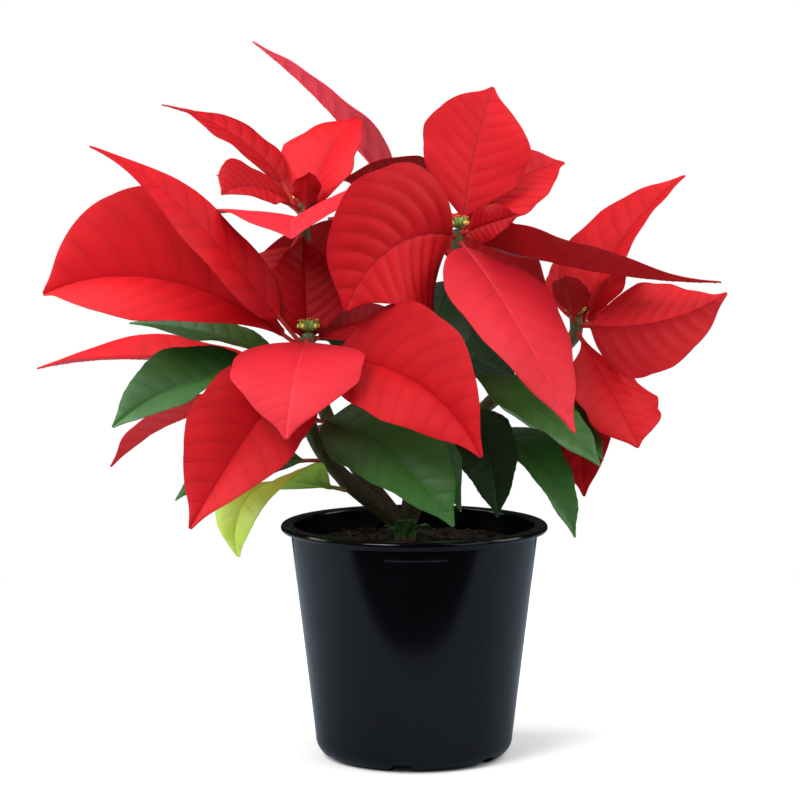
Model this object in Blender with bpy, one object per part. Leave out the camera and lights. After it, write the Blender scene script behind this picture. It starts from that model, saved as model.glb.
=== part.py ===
"""Potted poinsettia in a round nursery pot, resting on a flat surface.

Metres, +Z up, -Y to the front, +X to the right. The origin is on the pot's axis on the ground it stands on.
Lengths in the plan below are millimetres, multiplied by MM, and angles are degrees.
"""

import bpy
import bmesh
import numpy as np
from math import radians

MM = 0.001

# Pot
RIM_RADIUS = 75.0
POT_HEIGHT = 132.0
LIP_DEPTH = 4.0
NECK_RADIUS = 69.5
FOOT_RADIUS = 55.5
WALL = 2.0
CORNER_RADIUS = 11.0
FLOOR_TOP = 9.0
FLOOR_UNDER = 5.5
CENTRE_PAD_RADIUS = 20.0
FOOT_RING_INNER = 41.0
POT_SIDES = 44
NOTCHES = 6
NOTCH_WIDTH = 15.0
NOTCH_HEIGHT = 5.0
NOTCH_BEARING = -98.0

# Soil
SOIL_TOP = 119.0
SOIL_MOUND = 3.0
SOIL_ROUGHNESS = 1.3
SOIL_SIDES = 32
GAP = 0.3

# Stems: the height of each station, with its place to the right and to the back
TRUNK_RADIUS = 6.2
TWIG_RADIUS = 3.4
STEM_SIDES = 8
STEM_ROOT = 88.0
STEM_FORK = 128.0
BRANCHES = {
    "a": ((129, -5, -3), (137, -14, -5), (158, -38, -12), (185, -56, -24),
          (212, -59, -40), (228, -58, -45), (244, -58, -45)),
    "b": ((129, -5, -3), (145, 1, -4), (180, 10, -7), (230, 20, -10), (270, 24, -10), (298, 24, -10)),
    "c": ((129, -5, -3), (150, 5, 2), (180, 24, 8), (205, 50, 12),
          (226, 80, 15), (236, 90, 15), (248, 91, 15)),
    "d": ((129, -5, -3), (140, -14, 2), (180, -44, 12), (230, -60, 19), (280, -62, 20), (311, -62, 20)),
    "e": ((129, -5, -3), (145, -2, 10), (190, 1, 40), (235, 4, 62), (265, 4, 70), (296, 4, 70)),
}
BRANCH_RADIUS = {"a": 5.6, "b": 5.2, "c": 4.8, "d": 4.8, "e": 4.8}

# Blades
BLADE_THICKNESS = 0.8
PETIOLE_RADIUS = 1.2
MIDRIB_DEPTH = 1.3
BRACT_OUTLINE = (
    (0.0, 0.06), (0.06, 0.34), (0.2, 0.78), (0.42, 1.0), (0.65, 0.84), (0.83, 0.45), (0.93, 0.16), (1.0, 0.03))
LEAF_OUTLINE = (
    (0.0, 0.06), (0.06, 0.36), (0.2, 0.82), (0.42, 1.0), (0.64, 0.78), (0.83, 0.42), (0.93, 0.16), (1.0, 0.03))
LOBE_PITCH = 0.28
ROWS = (0.0, 0.05, 0.15, 0.28, 0.42, 0.56, 0.7, 0.82, 0.92, 1.0)
COLUMNS = (-1.0, -0.5, 0.0, 0.5, 1.0)

# Flower heads
URN_RADIUS = 2.3
URN_HEIGHT = 6.0
URN_RING = 4.6
URNS_AROUND = 5

RED = (0.72, 0.012, 0.022, 1.0)
GREEN = (0.035, 0.115, 0.03, 1.0)
PALE_GREEN = (0.30, 0.45, 0.06, 1.0)
BLACK = (0.006, 0.007, 0.009, 1.0)
EARTH = (0.028, 0.019, 0.013, 1.0)
BARK = (0.05, 0.055, 0.025, 1.0)
CYATHIA = (0.22, 0.34, 0.06, 1.0)


def clear_scene():
    for obj in list(bpy.data.objects):
        bpy.data.objects.remove(obj, do_unlink=True)


def material(name, colour, roughness):
    made = bpy.data.materials.get(name)
    if made:
        return made
    made = bpy.data.materials.new(name)
    made.use_nodes = True
    shader = made.node_tree.nodes["Principled BSDF"]
    shader.inputs["Base Color"].default_value = colour
    shader.inputs["Roughness"].default_value = roughness
    shader.inputs["Metallic"].default_value = 0.0
    made.diffuse_color = colour
    return made


def object_of(name, points, faces, look):
    """An object in the scene from points in millimetres."""
    mesh = bpy.data.meshes.new(name)
    mesh.from_pydata((np.asarray(points, float) * MM).tolist(), [], [list(map(int, f)) for f in faces])
    mesh.update()
    mesh.shade_smooth()
    obj = bpy.data.objects.new(name, mesh)
    bpy.context.scene.collection.objects.link(obj)
    mesh.materials.append(look)
    return obj


def helper(obj):
    """Keeps a cutter or a piece to be joined out of the finished part."""
    obj.hide_render = True
    obj.display_type = "WIRE"
    return obj


def boolean(obj, other, operation, with_self=False):
    modifier = obj.modifiers.new(operation.title(), "BOOLEAN")
    modifier.operation = operation
    modifier.solver = "EXACT"
    modifier.use_self = with_self
    modifier.object = helper(other)


def smooth(points, at):
    """Reads a smooth curve through (x, y) points: cubic pieces with the slope of the neighbours."""
    x, y = np.array(points, float).T
    slope = np.gradient(y, x)
    i = np.clip(np.searchsorted(x, at, side="right") - 1, 0, len(x) - 2)
    step = x[i + 1] - x[i]
    t = (at - x[i]) / step
    return (
        (2 * t**3 - 3 * t**2 + 1) * y[i]
        + (t**3 - 2 * t**2 + t) * step * slope[i]
        + (3 * t**2 - 2 * t**3) * y[i + 1]
        + (t**3 - t**2) * step * slope[i + 1]
    )


def tube_faces(rings, sides):
    """Quads between equal rings of points, with both ends closed."""
    faces = []
    for r in range(rings - 1):
        for s in range(sides):
            a, b = r * sides + s, r * sides + (s + 1) % sides
            faces.append((a, b, b + sides, a + sides))
    faces.append(tuple(range(sides))[::-1])
    faces.append(tuple((rings - 1) * sides + s for s in range(sides)))
    return faces


def turned(profile, sides):
    """Points of a closed (radius, height) profile turned about Z, as a ring of quads."""
    turn = 2 * np.pi * np.arange(sides) / sides
    ring = np.array(profile, float)
    x = ring[None, :, 0] * np.cos(turn)[:, None]
    y = ring[None, :, 0] * np.sin(turn)[:, None]
    z = np.broadcast_to(ring[None, :, 1], x.shape)
    points = np.stack([x, y, z], -1).reshape(-1, 3)
    return points, len(ring)


def arc(centre, radius, first, last, steps):
    turn = np.radians(np.linspace(first, last, steps))
    return [(centre[0] + radius * np.cos(a), centre[1] + radius * np.sin(a)) for a in turn]


def wall_radius(z):
    """Outer radius of the pot's straight taper at a height."""
    share = (z - CORNER_RADIUS) / (POT_HEIGHT - LIP_DEPTH - CORNER_RADIUS)
    return FOOT_RADIUS + (NECK_RADIUS - FOOT_RADIUS) * share


def lathe(name, profile, sides, look):
    """Turns a profile that starts and ends on the axis, from below to above."""
    inner = [p for p in profile if p[0] > 0]
    points, count = turned(inner, sides)
    faces = []
    for s in range(sides):
        a, b = s * count, ((s + 1) % sides) * count
        for k in range(count - 1):
            faces.append((a + k, b + k, b + k + 1, a + k + 1))
    low, high = len(points), len(points) + 1
    points = np.vstack([points, [[0, 0, profile[0][1]], [0, 0, profile[-1][1]]]])
    for s in range(sides):
        a, b = s * count, ((s + 1) % sides) * count
        faces.append((low, b, a))
        faces.append((high, a + count - 1, b + count - 1))
    return object_of(name, points, faces, look)


def pot():
    top = POT_HEIGHT
    lip = LIP_DEPTH / 2
    lip_centre = (RIM_RADIUS - lip, top - lip)
    profile = [(0, 0), (CENTRE_PAD_RADIUS, 0)]
    profile += [(CENTRE_PAD_RADIUS + 2, FLOOR_UNDER), (FOOT_RING_INNER, FLOOR_UNDER)]
    profile += [(FOOT_RING_INNER + 2, 0)]
    profile += arc((FOOT_RADIUS - CORNER_RADIUS, CORNER_RADIUS), CORNER_RADIUS, -80, 0, 5)
    profile += [(wall_radius(top - LIP_DEPTH - 2), top - LIP_DEPTH - 2)]
    profile += arc(lip_centre, lip, -90, 90, 5)
    profile += [(NECK_RADIUS - WALL + 1, top)]
    profile += [(wall_radius(z) - WALL, z) for z in (top - LIP_DEPTH, FLOOR_TOP + 7)]
    profile += [(FOOT_RADIUS - 10, FLOOR_TOP), (0, FLOOR_TOP)]
    made = lathe("pot", profile, POT_SIDES, material("black plastic", BLACK, 0.18))
    boolean(made, notch_cutter(), "DIFFERENCE")
    return made


def notch_cutter():
    """Six arches through the foot ring, between the feet the pot stands on."""
    steps = 5
    across = NOTCH_WIDTH / 2 * np.cos(np.linspace(0, np.pi, steps))
    up = NOTCH_HEIGHT * np.sin(np.linspace(0, np.pi, steps)) ** 0.8
    outline = [(NOTCH_WIDTH / 2, -3.0)] + list(zip(across, up)) + [(-NOTCH_WIDTH / 2, -3.0)]
    points, faces = [], []
    for k in range(NOTCHES):
        bearing = radians(NOTCH_BEARING + 360 / NOTCHES * k)
        out = np.array([np.cos(bearing), np.sin(bearing), 0])
        side = np.array([-np.sin(bearing), np.cos(bearing), 0])
        first = len(points)
        for reach in (CENTRE_PAD_RADIUS + 12, FOOT_RADIUS + 8):
            points += [out * reach + side * a + np.array([0, 0, z]) for a, z in outline]
        faces += [tuple(first + i for i in f) for f in tube_faces(2, len(outline))]
    return object_of("notch_cutter", points, faces, material("black plastic", BLACK, 0.18))


def soil_height(x, y):
    """Uneven surface of the potting mix: a low mound with a few broad lumps."""
    r = np.hypot(x, y) / NECK_RADIUS
    lumps = np.sin(0.19 * x + 1.3) * np.cos(0.16 * y + 0.4) + 0.6 * np.sin(0.31 * y - 0.12 * x + 2.0)
    return SOIL_TOP + SOIL_MOUND * (1 - r**2) + SOIL_ROUGHNESS * lumps * (1 - r**4)


def soil():
    """The potting mix that fills the pot, with a plain round hole for the stem."""
    levels = (SOIL_TOP - 1, FLOOR_TOP + 7)
    side = [(wall_radius(z) - WALL - GAP - 0.4, z) for z in levels][::-1]
    rim = side[-1][0]
    profile = [(0, FLOOR_TOP + GAP), (FOOT_RADIUS - 10.5, FLOOR_TOP + GAP)] + side
    profile += [(rim * share, SOIL_TOP) for share in (0.85, 0.66, 0.47, 0.28)] + [(0, SOIL_TOP)]
    made = lathe("soil", profile, SOIL_SIDES, material("potting mix", EARTH, 0.95))
    for vertex in made.data.vertices:
        x, y, z = vertex.co / MM
        if z > SOIL_TOP - 0.5:
            vertex.co.z = soil_height(x, y) * MM
    x, y = BRANCHES["a"][0][1:]
    hole_radius = TRUNK_RADIUS + (GAP + 0.1) / np.cos(np.pi / STEM_SIDES)
    ends = (STEM_ROOT - GAP, STEM_FORK + 20)
    rings = [ring((x, y, z), (0, 0, 1), (1, 0, 0), hole_radius, STEM_SIDES) for z in ends]
    earth = material("potting mix", EARTH, 0.95)
    cutter = object_of("stem_hole", np.vstack(rings), tube_faces(2, STEM_SIDES), earth)
    boolean(made, cutter, "DIFFERENCE")
    return made


def ring(centre, along, side, radius, sides):
    along = np.array(along, float) / np.linalg.norm(along)
    side = np.array(side, float) - along * np.dot(side, along)
    side /= np.linalg.norm(side)
    up = np.cross(along, side)
    turn = 2 * np.pi * np.arange(sides)[:, None] / sides
    return np.array(centre, float) + radius * (np.cos(turn) * side + np.sin(turn) * up)


def branch_point(branch, z):
    """The place of a branch's axis at a height."""
    stations = np.array(BRANCHES[branch], float)
    return np.array([smooth(stations[:, (0, 1)], z), smooth(stations[:, (0, 2)], z), z])


def branch_radius(branch, z):
    stations = BRANCHES[branch]
    share = np.clip((z - stations[0][0]) / (stations[-1][0] - stations[0][0]), 0, 1)
    return BRANCH_RADIUS[branch] + (TWIG_RADIUS - BRANCH_RADIUS[branch]) * share ** 0.7


def stem_tube(branch):
    stations = BRANCHES[branch]
    turns = np.array([z for z, x, y in stations], float)
    between = (turns[1:] + turns[:-1]) / 2
    heights = np.concatenate([[turns[0] - 3], np.sort(np.concatenate([turns, between]))])
    rings = []
    for z in heights:
        low = branch_point(branch, max(z - 1, stations[0][0]))
        high = branch_point(branch, min(z + 1, stations[-1][0]))
        centre = branch_point(branch, max(z, stations[0][0]))
        centre[2] = z
        along = high - low if z > stations[0][0] else np.array([0, 0, 1.0])
        rings.append(ring(centre, along, (1, 0, 0), branch_radius(branch, z), STEM_SIDES))
    bark = material("stem bark", BARK, 0.6)
    return object_of("stem_" + branch, np.vstack(rings), tube_faces(len(rings), STEM_SIDES), bark)


def stems():
    """One woody stem that forks just above the soil into a branch for each flower head."""
    x, y = BRANCHES["a"][0][1:]
    stations = ((STEM_ROOT, TRUNK_RADIUS), (STEM_FORK, TRUNK_RADIUS), (STEM_FORK + 4, TRUNK_RADIUS * 0.8))
    rings = [ring((x, y, z), (0, 0, 1), (1, 0, 0), r, STEM_SIDES) for z, r in stations]
    trunk = object_of("stem", np.vstack(rings), tube_faces(3, STEM_SIDES), material("stem bark", BARK, 0.6))
    for branch in BRANCHES:
        boolean(trunk, stem_tube(branch), "UNION")
    return trunk


def head_top(branch):
    z, x, y = BRANCHES[branch][-1]
    return np.array([x, y, z], float)


def urn(centre, lean, height):
    """One small flower cup: a six-sided bud, widest below its mouth."""
    lean = np.array(lean, float)
    along = lean / np.linalg.norm(lean)
    shape = ((0.0, 0.55), (0.5, 1.0), (1.0, 0.6))
    foot = np.array(centre)
    rings = [ring(foot + along * height * t, along, (1, 0.2, 0), URN_RADIUS * w, 6) for t, w in shape]
    return np.vstack(rings), tube_faces(len(shape), 6)


def flower_head(branch):
    """The true flowers: a tight group of small cups on the end of a branch, grown together at the base."""
    top = head_top(branch) + np.array([0, 0, GAP])
    base, faces = urn(top, (0, 0, 1), URN_HEIGHT)
    made = object_of("cyathia_" + branch, base, faces, material("flower cups", CYATHIA, 0.5))
    points, joined = [], []
    for k in range(URNS_AROUND):
        turn = 2 * np.pi * k / URNS_AROUND + 0.4
        out = np.array([np.cos(turn), np.sin(turn), 0])
        tall = URN_HEIGHT * (0.9 + 0.14 * np.sin(5 * k))
        cup, cup_faces = urn(top + out * 1.6 + np.array([0, 0, 1.1]), out * 0.75 + np.array([0, 0, 1]), tall)
        joined += [tuple(len(points) + i for i in f) for f in cup_faces]
        points += list(cup)
    cups = object_of("cups_" + branch, points, joined, material("flower cups", CYATHIA, 0.5))
    boolean(made, cups, "UNION", True)
    return made


def petiole_foot(branch, height, bearing, rise):
    """Where a petiole starts, just off the side of its branch that faces the bearing."""
    axis = branch_point(branch, height + 1) - branch_point(branch, height - 1)
    axis /= np.linalg.norm(axis)
    turn = radians(bearing)
    out = np.array([np.cos(turn), np.sin(turn), 0])
    along = out * np.cos(radians(rise)) + np.array([0, 0, np.sin(radians(rise))])
    out -= axis * (out @ axis)
    out /= np.linalg.norm(out)
    slant = np.sqrt(max(0, 1 - (along @ out) ** 2))
    reach = branch_radius(branch, height) + GAP + PETIOLE_RADIUS * slant
    return branch_point(branch, height) + out * reach


def blade(name, branch, height, bearing, rise, arch, length, width, roll=0, fold=12, belly=42, late=1.2,
          stalk=12, sweep=0, twist=0, wave=1.5, lobe=0.03, outline=BRACT_OUTLINE, look=None):
    """One bract or leaf with its petiole, as a closed slab that follows a bending midrib.

    height is where the petiole meets the branch. bearing is its direction seen from above, from +X towards +Y,
    rise its slope there, arch how far it bends down and sweep how far it bends round by the tip. roll tips the
    blade about its midrib, twist adds to that by the tip, fold lifts both halves, belly is where it is widest,
    wave is how far the margins ripple, and lobe is how far the angular points stand out, as a share of the width.
    """
    turn = radians(bearing)
    foot = petiole_foot(branch, height, bearing, rise)
    points, faces = blade_mesh(
        rise, arch, length, width, roll, fold, belly, late, stalk, sweep, twist, wave, lobe, outline)
    made = object_of(name, points, faces, look or material("red bract", RED, 0.45))
    made.location = foot * MM
    made.rotation_euler = (0, 0, turn)
    return made


def midrib(rise, arch, length, late, stalk, sweep):
    """Places, directions and turns along the midrib, finely stepped, from the foot of the petiole."""
    s = np.linspace(0, 1, 61)
    turn = np.radians(sweep) * s
    slope = radians(rise) - radians(arch) * s**late
    along = np.stack([np.cos(turn) * np.cos(slope), np.sin(turn) * np.cos(slope), np.sin(slope)], -1)
    steps = (along[1:] + along[:-1]) / 2 * (length / 60)
    place = along[0] * stalk + np.vstack([np.zeros(3), np.cumsum(steps, 0)])
    side = np.stack([np.sin(turn), -np.cos(turn), np.zeros_like(turn)], -1)
    return s, place, along, side


def half_width(rows, width, belly, lobe, outline):
    """Midrib to margin: the outline, with angular points a little over a quarter of the length apart."""
    half = width / 2 * smooth(outline, rows ** (np.log(0.42) / np.log(belly / 100)))
    points = 1 - 4 * np.abs((rows / LOBE_PITCH + 0.5) % 1 - 0.5)
    return half * (1 + lobe * points * 4 * rows * (1 - rows))


def blade_mesh(rise, arch, length, width, roll, fold, belly, late, stalk, sweep, twist, wave, lobe, outline):
    s, place, along, side = midrib(rise, arch, length, late, stalk, sweep)
    rows = np.array(ROWS)
    pick = [np.stack([np.interp(rows, s, v[:, k]) for k in range(3)], -1) for v in (place, along, side)]
    centre, forward, across = pick
    lift = np.cross(across, forward)
    tip_over = np.radians(roll + twist * rows)[:, None]
    right = across * np.cos(tip_over) + lift * np.sin(tip_over)
    up = -across * np.sin(tip_over) + lift * np.cos(tip_over)
    half = half_width(rows, width, belly, lobe, outline)
    v = np.array(COLUMNS)
    out = half[:, None] * np.abs(v)
    ripple = wave * np.sin(2 * np.pi * (1.7 * rows[:, None] + 0.2 * np.sign(v))) * v**2
    ripple = ripple * (half / half.max())[:, None]
    sideways = (np.cos(radians(fold)) * out * np.sign(v))[..., None]
    upward = (np.sin(radians(fold)) * out + ripple)[..., None]
    middle = centre[:, None] + right[:, None] * sideways + up[:, None] * upward
    rib = MIDRIB_DEPTH * (1 - rows)[:, None] * (v == 0)
    upper = middle + up[:, None] * (BLADE_THICKNESS / 2)
    lower = middle - up[:, None] * (BLADE_THICKNESS / 2 + rib)[..., None]
    stalks = [petiole_ring(place[0] * share, forward[0], right[0], up[0], v) for share in (0.0, 0.6)]
    upper = np.concatenate([[r[0] for r in stalks], upper])
    lower = np.concatenate([[r[1] for r in stalks], lower])
    count, wide = upper.shape[:2]
    points = np.concatenate([upper.reshape(-1, 3), lower.reshape(-1, 3)])
    return points, slab_faces(count, wide)


def petiole_ring(centre, forward, right, up, v):
    """Upper and lower points of a round petiole, in the blade's columns."""
    turn = np.radians(78 * v)[:, None]
    bow = right * np.sin(turn) * PETIOLE_RADIUS
    rise = up * np.cos(turn) * PETIOLE_RADIUS
    return centre + bow + rise, centre + bow - rise


def slab_faces(count, wide):
    """Triangles of a slab between two alike grids, split the same way above and below."""
    under = count * wide
    faces = []
    for i in range(count - 1):
        for j in range(wide - 1):
            a, b, c, d = i * wide + j, i * wide + j + 1, (i + 1) * wide + j + 1, (i + 1) * wide + j
            faces += [(a, b, c), (a, c, d)]
            faces += [(under + a, under + c, under + b), (under + a, under + d, under + c)]
        a, d = i * wide, (i + 1) * wide
        faces.append((a, d, under + d, under + a))
        b, c = a + wide - 1, d + wide - 1
        faces.append((b, under + b, under + c, c))
    last = (count - 1) * wide
    for j in range(wide - 1):
        faces.append((j, under + j, under + j + 1, j + 1))
        faces.append((last + j + 1, under + last + j + 1, under + last + j, last + j))
    return faces


def leaf(name, branch, height, bearing, rise, arch, length, width, look=None, **more):
    more.setdefault("lobe", 0.05)
    return blade(name, branch, height, bearing, rise, arch, length, width, outline=LEAF_OUTLINE,
                 look=look or material("green leaf", GREEN, 0.4), **more)


def bract(name, *place, **more):
    return blade("bract_" + name, *place, **more)


def bracts():
    """The red leaves under each flower head: branch, height, bearing, rise, arch, length, width."""
    bract("a1", "a", 239, -97, -7, 47, 88, 72, fold=2, belly=38, late=1.0, stalk=4)
    bract("a2", "a", 233, -29, -5, 47, 114, 77, roll=-40, fold=27, belly=36, late=1.3, stalk=14,
          sweep=-21, twist=-20)
    bract("a3", "a", 231, -127, -38, 19, 115, 67, roll=30, fold=18, belly=40, stalk=5, sweep=-20,
          twist=5)
    bract("a4", "a", 236, 179, 35, 61, 140, 98, roll=56, fold=32, belly=56, late=1.3, stalk=13,
          sweep=-10, twist=-5)
    bract("a5", "a", 238, 201, 50, 28, 140, 48, roll=50, fold=3, belly=32, late=2.6, stalk=20,
          sweep=-16, twist=-30)
    bract("a6", "a", 240, 32, 16, 10, 54, 34, roll=-30, fold=10, stalk=3)
    bract("a7", "a", 213, 151, 10, 24, 158, 48, roll=2, fold=18, stalk=18, twist=14)
    bract("a8", "a", 203, 153, -3, 41, 118, 40, roll=-6, fold=18, stalk=17, sweep=-4)
    bract("a9", "a", 236, 100, 80, 18, 58, 44, fold=16, stalk=4)
    bract("b1", "b", 294, -127, 12, 82, 95, 86, roll=96, fold=3, belly=43, stalk=2, sweep=-24,
          twist=-34)
    bract("b2", "b", 290, -63, -25, 33, 135, 69, roll=6, fold=2, belly=38, late=0.7, stalk=5,
          sweep=22, twist=-8)
    bract("b3", "b", 296, 67, 70, 22, 82, 62, roll=-35, fold=6, belly=48, stalk=9, sweep=-4)
    bract("b4", "b", 294, -15, -15, -16, 134, 55, roll=33, fold=15, belly=30, late=1.4, stalk=12,
          twist=-28)
    bract("b5", "b", 292, 51, 40, 36, 84, 46, roll=-37, fold=16, stalk=10, sweep=-13)
    bract("b6", "b", 296, -42, 18, 4, 38, 21, roll=-77, fold=11, stalk=4)
    bract("c1", "c", 243, 25, 76, 42, 99, 60, roll=-3, fold=20, belly=30, late=0.7, stalk=6,
          sweep=-7, twist=-13)
    bract("c2", "c", 242, -35, 0, -36, 86, 58, roll=107, fold=14, belly=38, late=1.4, stalk=6,
          sweep=17, twist=23)
    bract("c3", "c", 238, -61, -40, 7, 82, 55, roll=26, fold=3, belly=57, stalk=2, twist=-38, lobe=0.1)
    bract("c4", "c", 231, -72, -63, 22, 75, 42, roll=-42, stalk=11)
    bract("c5", "c", 242, 48, 6, 38, 96, 54, fold=14, stalk=9)
    bract("c6", "c", 246, -105, 58, 30, 34, 22, fold=14, stalk=3)
    bract("c7", "c", 236, 72, 50, 24, 72, 48, fold=12, stalk=9)
    bract("d1", "d", 302, -97, 6, 21, 93, 85, roll=-12, fold=15, belly=41, late=1.3, stalk=7,
          sweep=11, twist=9)
    bract("d2", "d", 304, 50, 71, 50, 68, 66, roll=5, fold=14, belly=41, late=1.5, stalk=2, lobe=0.07)
    bract("d3", "d", 308, 148, 55, 43, 88, 38, roll=13, fold=5, belly=41, late=0.7, stalk=17,
          sweep=20, twist=-15)
    bract("d4", "d", 308, -146, 31, 52, 55, 42, roll=32, fold=11, belly=47, stalk=6, sweep=24)
    bract("d5", "d", 304, 118, 22, 40, 90, 52, fold=14, stalk=10)
    bract("d6", "d", 307, -78, 70, 20, 22, 17, stalk=3)
    bract("d7", "d", 292, -124, -42, 8, 57, 52, fold=12, stalk=9)
    bract("e1", "e", 291, 178, 62, 25, 118, 46, roll=-26, fold=14, belly=34, late=0.7, stalk=26,
          twist=13)
    bract("e2", "e", 287, 72, 16, 42, 98, 58, fold=13, stalk=10)
    bract("e3", "e", 281, -16, -5, 30, 66, 54, roll=60, fold=13, stalk=10)
    bract("e4", "e", 285, 116, 12, 38, 96, 56, fold=14, stalk=12)
    bract("e5", "e", 287, 247, 62, 76, 79, 51, roll=114, fold=12, belly=40, stalk=4, sweep=-30,
          twist=14)
    bract("e6", "e", 278, -168, -5, 25, 105, 58, roll=-60, fold=12, stalk=12)


def leaves():
    """The green leaves lower down: branch, height, bearing, rise, arch, length, width."""
    pale = material("pale leaf", PALE_GREEN, 0.4)
    leaf("leaf_1", "a", 218, -179, 8, 48, 91, 50, roll=16, fold=20, belly=47, late=0.8, stalk=19,
          sweep=13, twist=32)
    leaf("leaf_2", "a", 224, 167, 22, 24, 86, 38, roll=8, fold=10, stalk=15, twist=15)
    leaf("leaf_3", "a", 157, -137, 13, 140, 103, 53, look=pale, roll=-29, fold=6, belly=47,
          late=2.6, stalk=11, sweep=18, twist=28)
    leaf("leaf_4", "d", 169, 176, 0, 46, 79, 37, roll=40, fold=12, belly=46, late=1.5, stalk=22,
          sweep=-8)
    leaf("leaf_5", "a", 195, -36, -6, 50, 99, 66, roll=-26, fold=21, belly=39, late=0.9, stalk=8,
          sweep=9, twist=-20)
    leaf("leaf_6", "b", 188, -79, -22, 43, 53, 26, roll=-66, fold=16, stalk=15, sweep=8)
    leaf("leaf_7", "b", 205, -51, -26, 59, 67, 36, roll=-31, fold=15, late=0.8, stalk=15, sweep=-15)
    leaf("leaf_8", "b", 223, -36, -17, 22, 94, 46, roll=-1, fold=11, late=0.9, stalk=15, twist=-19)
    leaf("leaf_9", "c", 193, -40, -25, 38, 80, 35, roll=-7, fold=24, belly=39, late=0.9, stalk=14,
          sweep=-8, twist=-8)
    leaf("leaf_10", "c", 211, -50, -20, 24, 60, 28, roll=3, stalk=18)
    leaf("leaf_11", "e", 225, 100, 5, 42, 104, 60, fold=14, stalk=16)
    leaf("leaf_12", "e", 226, -35, -5, 20, 50, 50, roll=60, fold=14, stalk=12)
    leaf("leaf_13", "d", 234, -8, -4, 30, 60, 46, roll=66, fold=12, stalk=8)
    leaf("leaf_14", "c", 200, 62, -8, 44, 88, 50, fold=14, stalk=14)
    leaf("leaf_15", "e", 188, 78, -18, 30, 78, 46, fold=14, stalk=14)
    leaf("leaf_16", "d", 186, 122, -12, 36, 82, 48, fold=14, stalk=14)
    leaf("leaf_17", "b", 274, -108, -36, 40, 74, 46, fold=14, stalk=7)


def main():
    clear_scene()
    pot()
    soil()
    stems()
    for branch in BRANCHES:
        flower_head(branch)
    bracts()
    leaves()


if __name__ == "__main__":
    main()
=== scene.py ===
"""Looks of a potted poinsettia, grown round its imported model.

The plan is in millimetres and degrees, like the model's own, and MM turns it into metres. The origin is
on the pot's axis on the surface it stands on, with -Y to the front, +X to the right and +Z up. Every leaf
and bract is a fine copy of its solid: the same bending midrib and outline, with raised panels between its
veins.
"""

from math import radians

import bpy
import numpy as np
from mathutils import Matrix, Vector


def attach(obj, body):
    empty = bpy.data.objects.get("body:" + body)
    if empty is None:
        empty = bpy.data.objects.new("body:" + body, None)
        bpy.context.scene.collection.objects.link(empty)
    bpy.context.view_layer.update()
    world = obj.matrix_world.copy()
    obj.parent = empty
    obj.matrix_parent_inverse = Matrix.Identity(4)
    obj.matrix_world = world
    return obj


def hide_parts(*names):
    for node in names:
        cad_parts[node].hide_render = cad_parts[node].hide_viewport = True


MM = 0.001

# Camera, table and room: places in metres, the dip in degrees and the lens in millimetres
CAMERA_PLACE = (-0.008, -2.0, 0.4294)
CAMERA_DIP = 6.5
CAMERA_LENS = 161.8
CAMERA_SENSOR = 36.0
TABLE_FRONT = -0.215
TABLE_BACK = 0.6
TABLE_HALF_WIDTH = 0.65
ROOM_GLOW = 0.52
MIRRORED_GLOW = 0.03

# Pot
RIM_RADIUS = 75.0
POT_HEIGHT = 132.0
LIP_DEPTH = 4.0
NECK_RADIUS = 69.5
FOOT_RADIUS = 55.5
WALL = 2.0
CORNER_RADIUS = 11.0
FLOOR_TOP = 9.0
FLOOR_UNDER = 5.5
CENTRE_PAD_RADIUS = 20.0
FOOT_RING_INNER = 41.0
POT_SIDES = 360
NOTCHES = 6
NOTCH_WIDTH = 15.0
NOTCH_HEIGHT = 5.0
NOTCH_BEARING = -98.0
PANEL_BEARING = -89.5
PANEL_HALF_ANGLE = 14.5
PANEL_DROP = 7.0
PANEL_RELIEF = 0.3

# Soil
SOIL_TOP = 119.0
SOIL_MOUND = 3.0
SOIL_ROUGHNESS = 1.3
SOIL_STEPS = 74
SOIL_SIDES = 260
CRUMBS = 520
CHIPS = 230
GAP = 0.3

# Stems: the height of each station, with its place to the right and to the back
TRUNK_RADIUS = 6.2
TWIG_RADIUS = 3.4
STEM_SIDES = 28
STEM_ROOT = 88.0
STEM_FORK = 128.0
BRANCHES = {
    "a": ((129, -5, -3), (137, -14, -5), (158, -38, -12), (185, -56, -24),
          (212, -59, -40), (228, -58, -45), (244, -58, -45)),
    "b": ((129, -5, -3), (145, 1, -4), (180, 10, -7), (230, 20, -10), (270, 24, -10), (298, 24, -10)),
    "c": ((129, -5, -3), (150, 5, 2), (180, 24, 8), (205, 50, 12),
          (226, 80, 15), (236, 90, 15), (248, 91, 15)),
    "d": ((129, -5, -3), (140, -14, 2), (180, -44, 12), (230, -60, 19), (280, -62, 20), (311, -62, 20)),
    "e": ((129, -5, -3), (145, -2, 10), (190, 1, 40), (235, 4, 62), (265, 4, 70), (296, 4, 70)),
}
BRANCH_RADIUS = {"a": 5.6, "b": 5.2, "c": 4.8, "d": 4.8, "e": 4.8}
RING_STEP = 1.1
KNOT_SPREAD = 2.2
KNOT_SWELL = 0.10
FURROW_DEPTH = 0.12

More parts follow.
